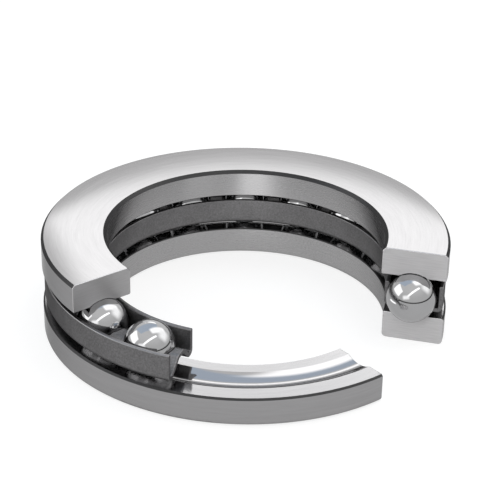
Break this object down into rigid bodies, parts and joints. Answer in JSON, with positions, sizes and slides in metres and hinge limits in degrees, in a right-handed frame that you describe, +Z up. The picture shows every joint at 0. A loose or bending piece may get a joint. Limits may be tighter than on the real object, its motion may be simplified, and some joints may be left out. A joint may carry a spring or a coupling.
{
  "type": "thrust ball bearing",
  "caption": "Single-direction thrust ball bearing cut away in steps: two grooved washers with steel balls in a pressed W-section cage between them.",
  "frame": {"origin": "on the bearing axis, in the plane of the housing washer's bottom face", "axes": "+Z runs up the bearing axis from the housing washer to the shaft washer; +X points at the cut end where all rings start (14.4 degrees before +X); the cut opens towards -Y"},
  "size_m": [0.11, 0.11, 0.027],
  "materials": {
    "washer_steel": "fine-ground hardened bearing steel, brushed round the axis on its flat faces",
    "ball_steel": "polished chrome-steel balls, mirror finish",
    "cage_steel": "dark matte pressed sheet steel, lighter on its rims and cut edges"
  },
  "bodies": {
    "housing_ring": {"housing_washer": "washer_steel"},
    "shaft_ring": {"shaft_washer": "washer_steel"},
    "cage_ring": {"cage": "cage_steel"},
    "ball_01": {"ball_01": "ball_steel"},
    "ball_02": {"ball_02": "ball_steel"},
    "ball_03": {"ball_03": "ball_steel"},
    "ball_04": {"ball_04": "ball_steel"},
    "ball_05": {"ball_05": "ball_steel"},
    "ball_06": {"ball_06": "ball_steel"},
    "ball_07": {"ball_07": "ball_steel"},
    "ball_08": {"ball_08": "ball_steel"},
    "ball_09": {"ball_09": "ball_steel"},
    "ball_10": {"ball_10": "ball_steel"},
    "ball_11": {"ball_11": "ball_steel"},
    "ball_12": {"ball_12": "ball_steel"},
    "ball_13": {"ball_13": "ball_steel"}
  },
  "joints": [
    {"name": "shaft_washer_spin", "type": "hinge", "parent": "housing_ring", "child": "shaft_ring", "pos_m": [0, 0, 0.02307], "axis": [0, 0, 1], "continuous": true},
    {"name": "cage_spin", "type": "hinge", "parent": "housing_ring", "child": "cage_ring", "pos_m": [0, 0, 0.0135], "axis": [0, 0, 1], "continuous": true},
    {"name": "ball_01_spin", "type": "hinge", "parent": "cage_ring", "child": "ball_01", "pos_m": [0.04449, -0.01209, 0.0135], "axis": [0.965, -0.2622, 0], "continuous": true},
    {"name": "ball_02_spin", "type": "hinge", "parent": "cage_ring", "child": "ball_02", "pos_m": [0.04585, 0.0048, 0.0135], "axis": [0.9946, 0.1041, 0], "continuous": true},
    {"name": "ball_03_spin", "type": "hinge", "parent": "cage_ring", "child": "ball_03", "pos_m": [0.04102, 0.02104, 0.0135], "axis": [0.8898, 0.4564, 0], "continuous": true},
    {"name": "ball_04_spin", "type": "hinge", "parent": "cage_ring", "child": "ball_04", "pos_m": [0.03065, 0.03444, 0.0135], "axis": [0.6648, 0.747, 0], "continuous": true},
    {"name": "ball_05_spin", "type": "hinge", "parent": "cage_ring", "child": "ball_05", "pos_m": [0.01614, 0.04318, 0.0135], "axis": [0.3501, 0.9367, 0], "continuous": true},
    {"name": "ball_06_spin", "type": "hinge", "parent": "cage_ring", "child": "ball_06", "pos_m": [-0.00055, 0.0461, 0.0135], "axis": [-0.0119, 0.9999, 0], "continuous": true},
    {"name": "ball_07_spin", "type": "hinge", "parent": "cage_ring", "child": "ball_07", "pos_m": [-0.01716, 0.04279, 0.0135], "axis": [-0.3723, 0.9281, 0], "continuous": true},
    {"name": "ball_08_spin", "type": "hinge", "parent": "cage_ring", "child": "ball_08", "pos_m": [-0.03146, 0.0337, 0.0135], "axis": [-0.6824, 0.7309, 0], "continuous": true},
    {"name": "ball_09_spin", "type": "hinge", "parent": "cage_ring", "child": "ball_09", "pos_m": [-0.04151, 0.02006, 0.0135], "axis": [-0.9004, 0.435, 0], "continuous": true},
    {"name": "ball_10_spin", "type": "hinge", "parent": "cage_ring", "child": "ball_10", "pos_m": [-0.04595, 0.00371, 0.0135], "axis": [-0.9968, 0.0804, 0], "continuous": true},
    {"name": "ball_11_spin", "type": "hinge", "parent": "cage_ring", "child": "ball_11", "pos_m": [-0.04419, -0.01314, 0.0135], "axis": [-0.9585, -0.2851, 0], "continuous": true},
    {"name": "ball_12_spin", "type": "hinge", "parent": "cage_ring", "child": "ball_12", "pos_m": [-0.03646, -0.02822, 0.0135], "axis": [-0.7908, -0.6121, 0], "continuous": true},
    {"name": "ball_13_spin", "type": "hinge", "parent": "cage_ring", "child": "ball_13", "pos_m": [-0.0238, -0.03948, 0.0135], "axis": [-0.5163, -0.8564, 0], "continuous": true}
  ],
  "couplings": [
    {"joint": "cage_spin", "follows": "shaft_washer_spin", "ratio": 0.5},
    {"joint": "ball_01_spin", "follows": "shaft_washer_spin", "ratio": -3.4163},
    {"joint": "ball_02_spin", "follows": "shaft_washer_spin", "ratio": -3.4163},
    {"joint": "ball_03_spin", "follows": "shaft_washer_spin", "ratio": -3.4163},
    {"joint": "ball_04_spin", "follows": "shaft_washer_spin", "ratio": -3.4163},
    {"joint": "ball_05_spin", "follows": "shaft_washer_spin", "ratio": -3.4163},
    {"joint": "ball_06_spin", "follows": "shaft_washer_spin", "ratio": -3.4163},
    {"joint": "ball_07_spin", "follows": "shaft_washer_spin", "ratio": -3.4163},
    {"joint": "ball_08_spin", "follows": "shaft_washer_spin", "ratio": -3.4163},
    {"joint": "ball_09_spin", "follows": "shaft_washer_spin", "ratio": -3.4163},
    {"joint": "ball_10_spin", "follows": "shaft_washer_spin", "ratio": -3.4163},
    {"joint": "ball_11_spin", "follows": "shaft_washer_spin", "ratio": -3.4163},
    {"joint": "ball_12_spin", "follows": "shaft_washer_spin", "ratio": -3.4163},
    {"joint": "ball_13_spin", "follows": "shaft_washer_spin", "ratio": -3.4163}
  ]
}
